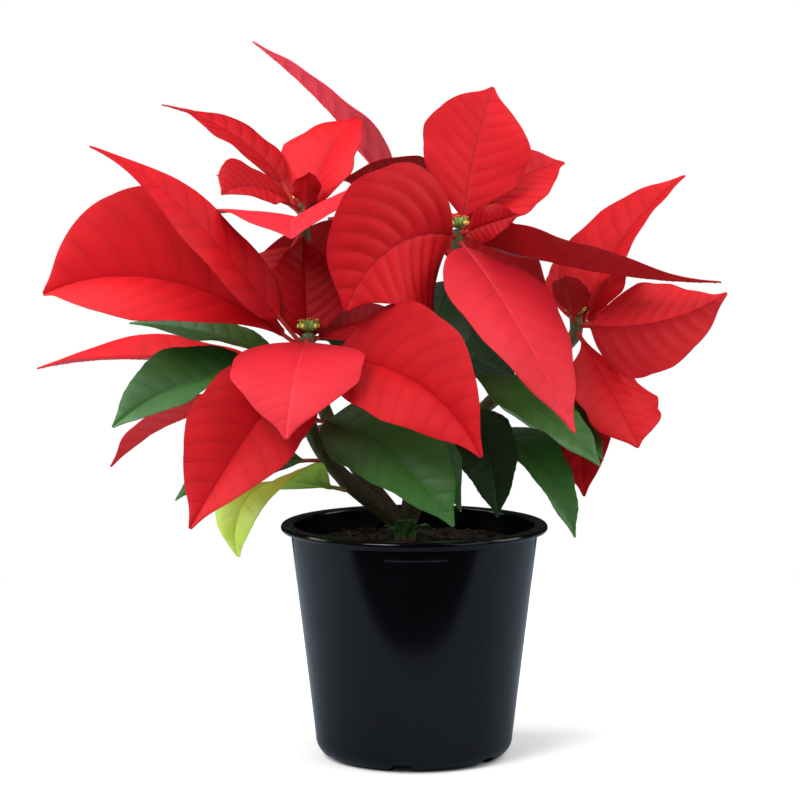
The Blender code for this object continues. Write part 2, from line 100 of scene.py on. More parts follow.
# Blades: teeth, ripples and crinkles are counted along a blade, and a lobe's pitch is a share of its length
BLADE_THICKNESS = 0.8
PETIOLE_RADIUS = 1.2
WIDEST_AT = 0.42
BRACT_OUTLINE = (
    (0.0, 0.06), (0.06, 0.34), (0.2, 0.78), (WIDEST_AT, 1.0),
    (0.65, 0.84), (0.83, 0.45), (0.93, 0.16), (1.0, 0.03))
LEAF_OUTLINE = (
    (0.0, 0.06), (0.06, 0.36), (0.2, 0.82), (WIDEST_AT, 1.0),
    (0.64, 0.78), (0.83, 0.42), (0.93, 0.16), (1.0, 0.03))
LOBE_PITCH = 0.28
TEETH = 17
TOOTH_DEPTH = 0.45
MIDRIB_STEPS = 60
BLADE_ROWS = 92
PETIOLE_ROWS = 7
COLUMNS = 35
RIPPLES = 1.7
CRINKLES = 4.3
CRINKLE_HEIGHT = 0.35
CROWN = 0.035
GROOVE_DEPTH = 0.5
GROOVE_SPREAD = 0.8
MIDRIB_DEPTH = 1.3
MIDRIB_SPREAD = 1.6

# Side veins: the stagger, spread and shoulder are in spaces between one vein and the next
VEIN_PAIRS = 9
VEIN_STAGGER = 0.22
VEIN_SPREAD = 0.05
VEIN_DEPTH = 0.25
PANEL_SHOULDER = 0.17

# Flower heads
URN_RADIUS = 2.3
URN_HEIGHT = 6.0
URNS_AROUND = 5

# Colours of the blades
RED = (0.46, 0.005, 0.010)
# The deep red is painted shade: a darker copy of RED for bracts that hang in shade.
SHADED_RED = (0.34, 0.003, 0.007)
# The rose is painted sheen: a pinker copy of RED for bracts that catch the brightest light.
ROSE_PAINTED_SHEEN = (0.48, 0.009, 0.020)
RED_STALK = (0.34, 0.020, 0.018)
GREEN = (0.030, 0.128, 0.019)
# The dark green is painted shade: a darker copy of GREEN for leaves that sit under the bracts.
SHADED_GREEN = (0.010, 0.036, 0.009)
PALE_GREEN = (0.42, 0.60, 0.06)

# Light that passes into a blade: its weight, and how many metres each colour goes
BRACT_GLOW = (0.03, (0.002, 0.0003, 0.0003))
LEAF_GLOW = (0.06, (0.0004, 0.0010, 0.0002))

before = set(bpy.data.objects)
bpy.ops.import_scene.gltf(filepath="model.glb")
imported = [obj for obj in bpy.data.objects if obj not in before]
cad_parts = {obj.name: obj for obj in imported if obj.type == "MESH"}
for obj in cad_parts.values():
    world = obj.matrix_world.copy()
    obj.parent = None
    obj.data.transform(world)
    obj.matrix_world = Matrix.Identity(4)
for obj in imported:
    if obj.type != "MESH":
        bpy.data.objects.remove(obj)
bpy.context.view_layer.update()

# The heights at which blades stand on each branch, noted as they are made, for the stem's knots
attached = {branch: [] for branch in BRANCHES}


def smooth(points, at):
    """Reads a smooth curve through (x, y) points: cubic pieces with the slope of the neighbours."""
    x, y = np.array(points, float).T
    slope = np.gradient(y, x)
    i = np.clip(np.searchsorted(x, at, side="right") - 1, 0, len(x) - 2)
    step = x[i + 1] - x[i]
    t = (at - x[i]) / step
    return (
        (2 * t**3 - 3 * t**2 + 1) * y[i]
        + (t**3 - 2 * t**2 + t) * step * slope[i]
        + (3 * t**2 - 2 * t**3) * y[i + 1]
        + (t**3 - t**2) * step * slope[i + 1]
    )


def grid_quads(rows, columns):
    """Quads between the neighbours of a grid stored row by row, its last column joined to its first."""
    i, j = np.meshgrid(np.arange(rows - 1), np.arange(columns), indexing="ij")
    k = (j + 1) % columns
    corners = (i * columns + j, i * columns + k, (i + 1) * columns + k, (i + 1) * columns + j)
    return np.stack(corners, -1).reshape(-1, 4)


def end_cap(ring, last):
    """Quads over a closed grid's flat end, from the first half of its ring across to the second."""
    half = ring // 2
    j = np.arange(half - 1)
    cap = np.stack([j, j + 1, ring - 2 - j, ring - 1 - j], -1)
    return cap[:, ::-1] + last if last == 0 else cap + last


def tube(rings):
    """A closed shell from rings of points, each ring an even number of points long: (points, quads)."""
    count, around = rings.shape[:2]
    caps = [end_cap(around, 0), end_cap(around, (count - 1) * around)]
    return rings.reshape(-1, 3), np.concatenate([grid_quads(count, around)] + caps)


def volume(points, quads):
    """Signed volume inside a shell: a sixth of the sum of its triangles' triple products."""
    a, b, c, d = (points[quads[:, k]] for k in range(4))
    return (np.einsum("ij,ij->", a, np.cross(b, c)) + np.einsum("ij,ij->", a, np.cross(c, d))) / 6


def joined(shells):
    """Several closed shells as one list of points and one of quads, each turned to face outwards."""
    points, quads, start = [], [], 0
    for shell_points, shell_quads in shells:
        facing = shell_quads if volume(shell_points, shell_quads) > 0 else shell_quads[:, ::-1]
        points.append(shell_points)
        quads.append(facing + start)
        start += len(shell_points)
    return np.concatenate(points), np.concatenate(quads)


def piece(name, shells, finishes, node=None, looks=None, layers=None):
    """A shown piece from closed shells in millimetres.

    looks gives the number of each quad's finish, and layers the readings of each point that the patterns of
    the finishes follow.
    """
    points, quads = joined(shells)
    mesh = bpy.data.meshes.new(name)
    mesh.vertices.add(len(points))
    mesh.vertices.foreach_set("co", (points * MM).astype(np.float32).ravel())
    mesh.loops.add(quads.size)
    mesh.loops.foreach_set("vertex_index", quads.astype(np.int32).ravel())
    mesh.polygons.add(len(quads))
    mesh.polygons.foreach_set("loop_start", np.arange(0, quads.size, 4, dtype=np.int32))
    for finish in finishes:
        mesh.materials.append(finish)
    if looks is not None:
        mesh.polygons.foreach_set("material_index", np.asarray(looks, np.int32))
    for layer, values in (layers or {}).items():
        stored = mesh.attributes.new(layer, "FLOAT_VECTOR", "POINT")
        stored.data.foreach_set("vector", values.astype(np.float32).ravel())
    mesh.update(calc_edges=True)
    mesh.validate()
    mesh.shade_smooth()
    made = bpy.data.objects.new(name, mesh)
    bpy.context.scene.collection.objects.link(made)
    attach(made, "root")
    if node:
        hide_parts(node)
    return made


# Node helpers for the finishes

def add(tree, kind, inputs=(), **settings):
    """Adds a shader node, sets its settings, and gives each input a number, a colour or an output."""
    made = tree.nodes.new("ShaderNode" + kind)
    for name, value in settings.items():
        setattr(made, name, value)
    for key, value in dict(inputs).items():
        if isinstance(value, bpy.types.NodeSocket):
            tree.links.new(value, made.inputs[key])
        else:
            made.inputs[key].default_value = value
    return made


def maths(tree, operation, a, b):
    """One sum of two numbers or patterns, such as ADD or MULTIPLY."""
    return add(tree, "Math", {0: a, 1: b}, operation=operation).outputs[0]


def total(tree, terms):
    """Sum of patterns, each times its share."""
    first, *others = [maths(tree, "MULTIPLY", pattern, share) for pattern, share in terms]
    for term in others:
        first = maths(tree, "ADD", first, term)
    return first


def blend(tree, share, first, second):
    """first where share is 0 and second where it is 1."""
    first, second = (c if isinstance(c, bpy.types.NodeSocket) else (*c, 1.0) for c in (first, second))
    return add(tree, "Mix", {0: share, 6: first, 7: second}, data_type="RGBA").outputs[2]


def coated(tree, colour, coats):
    """A colour under coats, each a pattern, how strongly it shows and the colour it turns towards."""
    for pattern, strength, towards in coats:
        colour = blend(tree, maths(tree, "MULTIPLY", pattern, strength), colour, towards)
    return colour


def rescale(tree, value, low, high, to_low=0.0, to_high=1.0):
    """value's stretch from low to high as a soft step from to_low to to_high."""
    inputs = {"Value": value, "From Min": low, "From Max": high, "To Min": to_low, "To Max": to_high}
    return add(tree, "MapRange", inputs, interpolation_type="SMOOTHSTEP").outputs[0]


def noise(tree, place, scale, detail=3.0, roughness=0.55):
    """Cloudy noise from 0 to 1, scale waves to the metre."""
    inputs = {"Vector": place, "Scale": scale, "Detail": detail, "Roughness": roughness}
    return add(tree, "TexNoise", inputs).outputs[0]


def streaks(tree, place, across, up):
    """Noise drawn out one way: so many waves to the metre across the piece and so many up it."""
    stretched = add(tree, "Mapping", {"Vector": place, "Scale": (across, across, up)}).outputs[0]
    return noise(tree, stretched, 1.0, 4.0)


def reading(tree, layer):
    """The three numbers that a mesh stores under a name for each of its points."""
    stored = add(tree, "Attribute", attribute_name=layer).outputs["Vector"]
    return add(tree, "SeparateXYZ", {0: stored}).outputs


def new_finish(name, **shader_inputs):
    """A material with its own Principled shader: (material, tree, shader, Object coordinates)."""
    made = bpy.data.materials.new(name)
    made.use_nodes = True
    tree = made.node_tree
    shader = tree.nodes["Principled BSDF"]
    for key, value in shader_inputs.items():
        shader.inputs[key.replace("_", " ")].default_value = value
    return made, tree, shader, add(tree, "TexCoord").outputs["Object"]


def paint(tree, shader, colour, roughness):
    """Gives a shader its patterned colour and roughness."""
    tree.links.new(colour, shader.inputs["Base Color"])
    tree.links.new(roughness, shader.inputs["Roughness"])


def relief(tree, shader, height, depth, strength=1.0):
    """Bump of a height that runs from 0 to 1, depth metres deep."""
    bump = add(tree, "Bump", {"Height": height, "Distance": depth, "Strength": strength})
    tree.links.new(bump.outputs["Normal"], shader.inputs["Normal"])


def blade_finish(name, face, deep, under, vein, stalk, roughness=0.5, gloss=0.10, sheen=0.0, marks=0.18,
                 glow=BRACT_GLOW):
    """Skin of a bract or leaf: face mottled towards deep, under beneath, vein along its veins.

    stalk is the petiole's colour, marks how strongly the side veins and their painted shade are drawn, and
    gloss the specular level.
    The blade's readings give the place along it, the underside and the margin, and then the phase of its
    side veins, the distance from its midrib in millimetres, and the phase of the threads between the veins.
    """
    glow_weight, glow_radius = glow
    made, tree, shader, place = new_finish(
        name, Specular_IOR_Level=gloss, Sheen_Weight=sheen, Sheen_Roughness=0.5,
        Sheen_Tint=(1.0, 0.45, 0.5, 1.0), Subsurface_Weight=glow_weight, Subsurface_Radius=glow_radius,
        Subsurface_Scale=1.0)
    along, beneath, margin = reading(tree, "growth")
    phase, out, fine = reading(tree, "spread")
    from_vein = maths(tree, "PINGPONG", phase, 0.5)
    line = rescale(tree, from_vein, 0.01, 0.06, 1.0, 0.0)
    # Painted shade: the skin darkens towards deep in a band along each side vein, as shade in the hollows
    # between the raised panels.
    painted_vein_shade = rescale(tree, from_vein, 0.0, 0.3, 1.0, 0.0)
    rib = rescale(tree, out, 0.3, 0.9, 1.0, 0.0)
    thread = rescale(tree, maths(tree, "PINGPONG", fine, 0.5), 0.0, 0.2, 1.0, 0.0)
    cells = add(tree, "TexVoronoi", {"Vector": place, "Scale": 420.0}, feature="DISTANCE_TO_EDGE")
    net = rescale(tree, cells.outputs[0], 0.0, 0.2, 1.0, 0.0)
    mottle = rescale(tree, noise(tree, place, 30.0), 0.36, 0.7)
    grain = noise(tree, place, 700.0, 2.0)
    # Painted shade: the skin darkens towards deep over the first third from the foot, where the blades crowd
    # together.
    foot = rescale(tree, along, 0.0, 0.32, 1.0, 0.0)
    petiole = rescale(tree, along, -0.02, 0.02, 1.0, 0.0)
    colour = coated(tree, face, (
        (mottle, 0.35, deep),
        (painted_vein_shade, marks, deep),
        (foot, 0.5, deep),
        (line, marks, vein),
        (net, marks * 0.2, vein),
        (margin, 0.25, deep),
        (beneath, 0.7, under),
        (rib, 0.45, vein),
        (petiole, 1.0, stalk),
    ))
    paint(tree, shader, colour, maths(tree, "ADD", maths(tree, "MULTIPLY", mottle, 0.1), roughness))
    relief(tree, shader, total(tree, ((line, -0.4), (thread, -0.1), (grain, 0.015))), 0.0003, 0.5)
    return made


def pot_finish():
    """Glossy black plastic: faint mould ripples, a patchy haze, and hair scratches round it."""
    made, tree, shader, place = new_finish("black plastic", IOR=1.46, Specular_IOR_Level=0.3)
    ripples = noise(tree, place, 26.0, 2.0)
    haze = rescale(tree, noise(tree, place, 9.0, 5.0), 0.42, 0.72)
    scratches = streaks(tree, place, 40.0, 900.0)
    colour = blend(tree, haze, (0.0012, 0.0014, 0.0020), (0.0026, 0.0032, 0.0045))
    paint(tree, shader, colour, maths(tree, "ADD", maths(tree, "MULTIPLY", haze, 0.09), 0.13))
    relief(tree, shader, total(tree, ((ripples, 1.0), (scratches, 0.03))), 0.0006, 0.35)
    return made


def soil_finish():
    """Damp potting mix: near-black peat with brown fibres and a few paler crumbs."""
    made, tree, shader, place = new_finish("potting mix", Specular_IOR_Level=0.25)
    crumbs = noise(tree, place, 260.0, 5.0, 0.7)
    patches = rescale(tree, noise(tree, place, 38.0, 4.0), 0.4, 0.7)
    cells = add(tree, "TexVoronoi", {"Vector": place, "Scale": 330.0}).outputs["Color"]
    fleck = rescale(tree, add(tree, "SeparateXYZ", {0: cells}).outputs[0], 0.86, 0.98)
    peat = blend(tree, crumbs, (0.003, 0.002, 0.0015), (0.018, 0.012, 0.006))
    colour = coated(tree, peat, ((patches, 0.6, (0.026, 0.024, 0.008)), (fleck, 0.5, (0.110, 0.075, 0.030))))
    paint(tree, shader, colour, rescale(tree, crumbs, 0.3, 0.7, 0.98, 0.75))
    relief(tree, shader, crumbs, 0.0022)
    return made


def stem_finish():
    """Young bark: brown-green skin, long furrows, and corky brown round the leaf scars."""
    made, tree, shader, place = new_finish("stem bark", Specular_IOR_Level=0.35)
    height_share, scar, _ = reading(tree, "growth")
    furrows = streaks(tree, place, 520.0, 90.0)
    furrow = rescale(tree, furrows, 0.45, 0.7)
    patches = rescale(tree, noise(tree, place, 110.0), 0.4, 0.62)
    bark = blend(tree, height_share, (0.050, 0.036, 0.016), (0.075, 0.135, 0.028))
    colour = coated(tree, bark, (
        (patches, 0.5, (0.030, 0.028, 0.012)),
        (furrow, 0.45, (0.018, 0.012, 0.008)),
        (scar, 1.0, (0.095, 0.055, 0.030)),
    ))
    paint(tree, shader, colour, rescale(tree, furrows, 0.3, 0.7, 0.5, 0.75))
    relief(tree, shader, furrows, 0.0009)
    return made


def soft_growth(name, colour, tip, roughness):
    """A small soft growth: one colour that turns towards another in fine patches, with a pimpled skin."""
    made, tree, shader, place = new_finish(
        name, Subsurface_Weight=0.15, Subsurface_Radius=(0.001, 0.001, 0.0005))
    patches = rescale(tree, noise(tree, place, 360.0), 0.35, 0.7)
    rough = rescale(tree, patches, 0.0, 1.0, roughness, roughness + 0.15)
    paint(tree, shader, blend(tree, patches, colour, tip), rough)
    relief(tree, shader, noise(tree, place, 900.0, 2.0), 0.0003)
    return made


def table_finish():
    """Plain pale table: almost white, matt, a whisper of grain, and a painted reflection, blue-grey where
    the pot mirrors it.
    """
    made, tree, shader, place = new_finish("pale table", Specular_IOR_Level=0.2)
    grain = noise(tree, place, 60.0)
    pale = blend(tree, grain, (0.90, 0.90, 0.90), (0.94, 0.94, 0.94))
    # Painted reflection: the table turns blue-grey only when seen in a mirror, so the pot mirrors it dim.
    mirrored = add(tree, "LightPath").outputs["Is Glossy Ray"]
    colour = blend(tree, mirrored, pale, (0.22, 0.26, 0.32))
    paint(tree, shader, colour, rescale(tree, grain, 0.0, 1.0, 0.7, 0.8))
    return made


FINISHES = {
    "red": blade_finish(
        "red bract", face=RED, deep=(0.28, 0.0015, 0.004), under=(0.46, 0.015, 0.020),
        vein=(0.30, 0.002, 0.007), stalk=RED_STALK),
    # Painted shade: the red darkened for bracts in shade, with its vein shade drawn stronger.
    "deep": blade_finish(
        "shaded red bract", face=SHADED_RED, deep=(0.22, 0.001, 0.003), under=(0.40, 0.010, 0.014),
        vein=(0.20, 0.001, 0.003), stalk=RED_STALK, marks=0.4),
    # Painted sheen: the red made pinker, with pale pink veins and underside, for bracts that catch the
    # light.
    "rose": blade_finish(
        "rose bract with painted sheen", face=ROSE_PAINTED_SHEEN, deep=(0.36, 0.004, 0.010), under=(0.62, 0.055, 0.085),
        vein=(0.60, 0.030, 0.050), stalk=RED_STALK, sheen=0.03, gloss=0.13),
    "green": blade_finish(
        "green leaf", face=GREEN, deep=(0.009, 0.046, 0.010), under=(0.070, 0.17, 0.050),
        vein=(0.075, 0.20, 0.040), stalk=(0.24, 0.030, 0.020), roughness=0.42, gloss=0.3, glow=LEAF_GLOW),
    # Painted shade: the green darkened for leaves that sit under the bracts.
    "dark": blade_finish(
        "shaded dark leaf", face=SHADED_GREEN, deep=(0.006, 0.016, 0.005), under=(0.030, 0.07, 0.020),
        vein=(0.022, 0.07, 0.015), stalk=(0.16, 0.020, 0.014), roughness=0.45, gloss=0.2, glow=LEAF_GLOW),
    "pale": blade_finish(
        "pale leaf", face=PALE_GREEN, deep=(0.16, 0.32, 0.03), under=(0.12, 0.26, 0.05),
        vein=(0.52, 0.66, 0.14), stalk=(0.30, 0.26, 0.060), roughness=0.42, gloss=0.25, glow=LEAF_GLOW),
}


# Stems

def ring(centre, along, side, radius, sides):
    """Circles of points round centres: cos and sin of the turn times the two directions across the path."""
    along = along / np.linalg.norm(along, axis=-1, keepdims=True)
    side = side - along * np.sum(side * along, -1, keepdims=True)
    side = side / np.linalg.norm(side, axis=-1, keepdims=True)
    up = np.cross(along, side)
    turn = 2 * np.pi * np.arange(sides)[None, :, None] / sides
    radius = np.reshape(radius, (-1, 1, 1)) if np.ndim(radius) < 2 else radius[..., None]
    return centre[:, None] + radius * (np.cos(turn) * side[:, None] + np.sin(turn) * up[:, None])


def branch_point(branch, z):
    """The place of a branch's axis at a height, or at several."""
    stations = np.array(BRANCHES[branch], float)
    right = smooth(stations[:, (0, 1)], z)
    back = smooth(stations[:, (0, 2)], z)
    return np.stack([right, back, z + 0 * right], -1)


def branch_radius(branch, z):
    """From a branch's own radius at the fork to a twig's, by the share of its height to the power 0.7."""
    stations = BRANCHES[branch]
    share = np.clip((z - stations[0][0]) / (stations[-1][0] - stations[0][0]), 0, 1)
    return BRANCH_RADIUS[branch] + (TWIG_RADIUS - BRANCH_RADIUS[branch]) * share**0.7


def branch_shell(branch):
    """A branch as rings along its axis, with the share of its height and its leaf scars as readings.

    Its radius swells by a bell curve at each leaf, with five faint ribs up it, and closes in at the end.
    """
    first, last = BRANCHES[branch][0][0], BRANCHES[branch][-1][0]
    heights = np.linspace(first, last, int((last - first) / RING_STEP))
    centre = branch_point(branch, heights)
    along = np.gradient(centre, axis=0)
    turn = 2 * np.pi * np.arange(STEM_SIDES) / STEM_SIDES
    knots = np.array(attached[branch])[:, None]
    swell = np.exp(-(((heights[None] - knots) / KNOT_SPREAD) ** 2)).sum(0).clip(0, 1)
    ribs = FURROW_DEPTH * np.sin(5 * turn[None] + heights[:, None] * 0.05 + len(attached[branch]))
    close = 1 - 0.5 * np.clip((heights - last + 1.5) / 1.5, 0, 1) ** 2
    radius = branch_radius(branch, heights) * (1 + KNOT_SWELL * swell) * close
    rings = ring(centre, along, np.array([1.0, 0, 0]), radius[:, None] + ribs - 0.15, STEM_SIDES)
    share = (heights - first) / (last - first)
    readings = np.stack([share**1.5, 0.6 * swell, 0 * share], -1)
    return tube(rings), np.repeat(readings, STEM_SIDES, axis=0)


def trunk_shell():
    """The trunk as rings up a straight axis, a little wider at the soil and drawn in above the fork."""
    x, y = BRANCHES["a"][0][1:]
    heights = np.array([STEM_ROOT, 110.0, SOIL_TOP, SOIL_TOP + 3, STEM_FORK, STEM_FORK + 2.5, STEM_FORK + 4])
    radius = TRUNK_RADIUS + np.array([-0.2, -0.1, 0.1, 0.0, -0.1, -0.6, -2.2])
    centre = np.stack([0 * heights + x, 0 * heights + y, heights], -1)
    rings = ring(centre, 0 * centre + [0, 0, 1.0], np.array([1.0, 0, 0]), radius, STEM_SIDES)
    return tube(rings), np.zeros((len(heights) * STEM_SIDES, 3))


def stems():
    """The trunk and its branches in one piece, made after the blades because of the knots."""
    shells, readings = zip(trunk_shell(), *(branch_shell(branch) for branch in BRANCHES))
    layers = {"growth": np.concatenate(readings)}
    piece("woody_stems", shells, [stem_finish()], "stem", layers=layers)


# Bracts and leaves

def petiole_foot(branch, height, bearing, rise):
    """Where a petiole starts: GAP off the side of its branch that faces the bearing."""
    axis = branch_point(branch, height + 1) - branch_point(branch, height - 1)
    axis /= np.linalg.norm(axis)
    turn = radians(bearing)
    out = np.array([np.cos(turn), np.sin(turn), 0])
    along = out * np.cos(radians(rise)) + np.array([0, 0, np.sin(radians(rise))])
    out -= axis * (out @ axis)
    out /= np.linalg.norm(out)
    slant = np.sqrt(max(0, 1 - (along @ out) ** 2))
    away = branch_radius(branch, height) + GAP + PETIOLE_RADIUS * slant
    return branch_point(branch, height) + out * away


def midrib(rise, arch, length, late, stalk, sweep):
    """Shares, places, directions and sideways directions along the midrib, which starts a stalk away.

    Its slope falls from rise by arch times s^late, it turns by sweep, and its steps are summed up.
    """
    s = np.linspace(0, 1, MIDRIB_STEPS + 1)
    turn = np.radians(sweep) * s
    slope = radians(rise) - radians(arch) * s**late
    along = np.stack([np.cos(turn) * np.cos(slope), np.sin(turn) * np.cos(slope), np.sin(slope)], -1)
    steps = (along[1:] + along[:-1]) / 2 * (length / MIDRIB_STEPS)
    place = along[0] * stalk + np.vstack([np.zeros(3), np.cumsum(steps, 0)])
    side = np.stack([np.sin(turn), -np.cos(turn), np.zeros_like(turn)], -1)
    return s, place, along, side


def half_width(u, width, belly, lobe, outline, teeth):
    """Midrib to margin: the outline, widest at belly per cent, with angular points and rounded teeth.

    The points are a triangle wave of LOBE_PITCH, and a tooth is |sin|^0.6, both less towards foot and tip.
    """
    half = width / 2 * smooth(outline, u ** (np.log(WIDEST_AT) / np.log(belly / 100)))
    points = 1 - 4 * np.abs((u / LOBE_PITCH + 0.5) % 1 - 0.5)
    half = half * (1 + lobe * points * 4 * u * (1 - u))
    return half - teeth * np.abs(np.sin(np.pi * TEETH * u)) ** 0.6 * np.sin(np.pi * u) ** 0.5


def side_veins(u, v, out, widest, length):
    """The phase of the side veins, a whole number on each of them, and how far off the nearest one is.

    A vein slants forward by 0.40 of its way out and by 0.35 of that way's square over the widest half.
    """
    slant = 0.40 * out + 0.35 * out**2 / widest
    phase = VEIN_PAIRS * (u - slant / length) + VEIN_STAGGER * np.sign(v)
    return phase, np.abs((phase + 0.5) % 1 - 0.5)


def skin_height(u, v, half, gap, fold, wave, quilt, shift):
    """How far the skin stands over the midrib: the fold's slope, with four forms added to it.

    The margin ripples by sin(2 pi (RIPPLES u + 0.2 sign v)) v^2 and crinkles by a finer sine times v^4, each
    half is crowned by 4 |v| (1 - |v|), and a panel rises between two side veins as
    1 - exp(-(gap / PANEL_SHOULDER)^2), gap being the distance from the nearest vein.
    """
    side = np.sign(v)
    off = np.abs(v)
    widest = half.max()
    near = (half / widest)[:, None]
    ripple = wave * np.sin(2 * np.pi * (RIPPLES * u + 0.2 * side)) * v**2 * near
    crinkle = CRINKLE_HEIGHT * np.sin(2 * np.pi * (CRINKLES * u + shift + 0.3 * side)) * v**4 * near
    crown = CROWN * half[:, None] * 4 * off * (1 - off)
    panel = np.sin(np.pi * off**0.75) ** 0.8 * np.sin(np.pi * u**0.8) ** 0.6
    panel = quilt * panel * (1 - np.exp(-((gap / PANEL_SHOULDER) ** 2)) - 0.6) * min(1, widest / 25)
    return np.sin(radians(fold)) * (half[:, None] * off) + ripple + crinkle + crown + panel


def petiole_rows(stalk, start, right, up, t):
    """A petiole's upper and lower rows from its foot to start: half circles, thicker at the foot.

    share runs from -1 / stalk, inside the gap at the branch, to 1, where the blade begins.
    """
    share = np.linspace(-1.0 / max(stalk, 2), 1, PETIOLE_ROWS + 1)[:-1]
    turn = np.radians(85 * t)[None, :, None]
    thin = (PETIOLE_RADIUS * (1 + 0.28 * (1 - share.clip(0, 1)) ** 6 - 0.06 * share))[:, None, None]
    bow = start * share[:, None, None] + right * np.sin(turn) * thin
    rise = up * np.cos(turn) * thin
    return share, bow + rise, bow - rise


def ring_reading(stem, face, beneath=None):
    """A number for each ring point: the petiole's rows, then the face's, on top and again beneath."""
    stem_rows = np.broadcast_to(stem, (PETIOLE_ROWS, COLUMNS))
    face_rows = np.broadcast_to(face, (BLADE_ROWS, COLUMNS))
    rows = np.concatenate([stem_rows, face_rows])
    under = rows[:, ::-1] if beneath is None else 0 * rows + beneath
    return np.concatenate([rows, under], axis=1)


def set_down(rings, bearing, foot):
    """Turns rings about the upright axis to a bearing, and moves them to a foot."""
    turn = radians(bearing)
    east, north, height = (rings[..., k] for k in range(3))
    right = np.cos(turn) * east - np.sin(turn) * north + foot[0]
    back = np.sin(turn) * east + np.cos(turn) * north + foot[1]
    return np.stack([right, back, height + foot[2]], -1)


def blade(name, branch, height, bearing, rise, arch, length, width, roll=0, fold=12, belly=42, late=1.2,
          stalk=12, sweep=0, twist=0, wave=1.5, lobe=0.03, outline=BRACT_OUTLINE, finish="red",
          slot="bract", quilt=0.7, teeth=0.0, foot=None, node=True):
    """One bract or leaf with its petiole, as a closed slab round a bending midrib.

    Row u runs from foot to tip and column v from edge to edge. A point stands out from the midrib by the
    half width times |v| and over it by skin_height, in a frame that rolls and then twists towards the tip.
    The upper skin has a groove along the midrib, and the lower one a rib there and along each side vein.
    """
    s, place, along, side = midrib(rise, arch, length, late, stalk, sweep)
    w = np.linspace(0, 1, BLADE_ROWS)
    u = 0.7 * w + 0.3 * (1 - np.cos(np.pi * w)) / 2
    t = np.linspace(-1, 1, COLUMNS)
    v = np.sign(t) * (0.5 - 0.5 * np.cos(np.pi * np.abs(t)))
    centre, forward, across = (
        np.stack([np.interp(u, s, path[:, k]) for k in range(3)], -1) for path in (place, along, side))
    lift = np.cross(across, forward)
    tip_over = np.radians(roll + twist * u)[:, None]
    right = across * np.cos(tip_over) + lift * np.sin(tip_over)
    up = -across * np.sin(tip_over) + lift * np.cos(tip_over)
    half = half_width(u, width, belly, lobe, outline, teeth)
    u = u[:, None]
    out = half[:, None] * np.abs(v)
    phase, gap = side_veins(u, v, out, half.max(), length)
    sideways = np.cos(radians(fold)) * out * np.sign(v)
    over = skin_height(u, v, half, gap, fold, wave, quilt, length + width)
    middle = centre[:, None] + right[:, None] * sideways[..., None] + up[:, None] * over[..., None]
    thick = BLADE_THICKNESS / 2 * (1 - 0.5 * v**8)
    groove = GROOVE_DEPTH * np.exp(-((out / GROOVE_SPREAD) ** 2)) * (1 - 0.7 * u)
    rib = MIDRIB_DEPTH * (1 - u) * np.exp(-((out / MIDRIB_SPREAD) ** 2))
    rib += VEIN_DEPTH * np.exp(-((gap / VEIN_SPREAD) ** 2)) * (1 - v**2)
    share, stalk_upper, stalk_lower = petiole_rows(stalk, place[0], right[0], up[0], t)
    upper = np.concatenate([stalk_upper, middle + up[:, None] * (thick - groove)[..., None]])
    lower = np.concatenate([stalk_lower, middle - up[:, None] * (thick + rib)[..., None]])
    rings = np.concatenate([upper, lower[:, ::-1]], axis=1)
    if foot is None:
        foot = petiole_foot(branch, height, bearing, rise)
        attached[branch].append(height)
    growth = [
        ring_reading(share[:, None] - 1.0, u),
        ring_reading(0, 0, beneath=1),
        ring_reading(0, np.abs(v) ** 14),
    ]
    spread = [ring_reading(0.5, phase), ring_reading(5.0, out), ring_reading(0.5, phase * 4.5)]
    layers = {"growth": np.stack(growth, -1).reshape(-1, 3), "spread": np.stack(spread, -1).reshape(-1, 3)}
    shell = tube(set_down(rings, bearing, foot))
    return piece("fine_" + name, [shell], [FINISHES[finish]], name if node else None, layers=layers)


def leaf(name, *place, lobe=0.05, finish="green", **more):
    """A green leaf, with teeth and lower panels than a bract's."""
    slot = "pale_leaf" if finish == "pale" else "leaf"
    more.update(lobe=lobe, finish=finish, slot=slot, outline=LEAF_OUTLINE, teeth=TOOTH_DEPTH, quilt=0.45)
    return blade(name, *place, **more)


def bract(name, *place, **more):
    """A red bract, with blade's own values where the plan gives none."""
    return blade("bract_" + name, *place, **more)


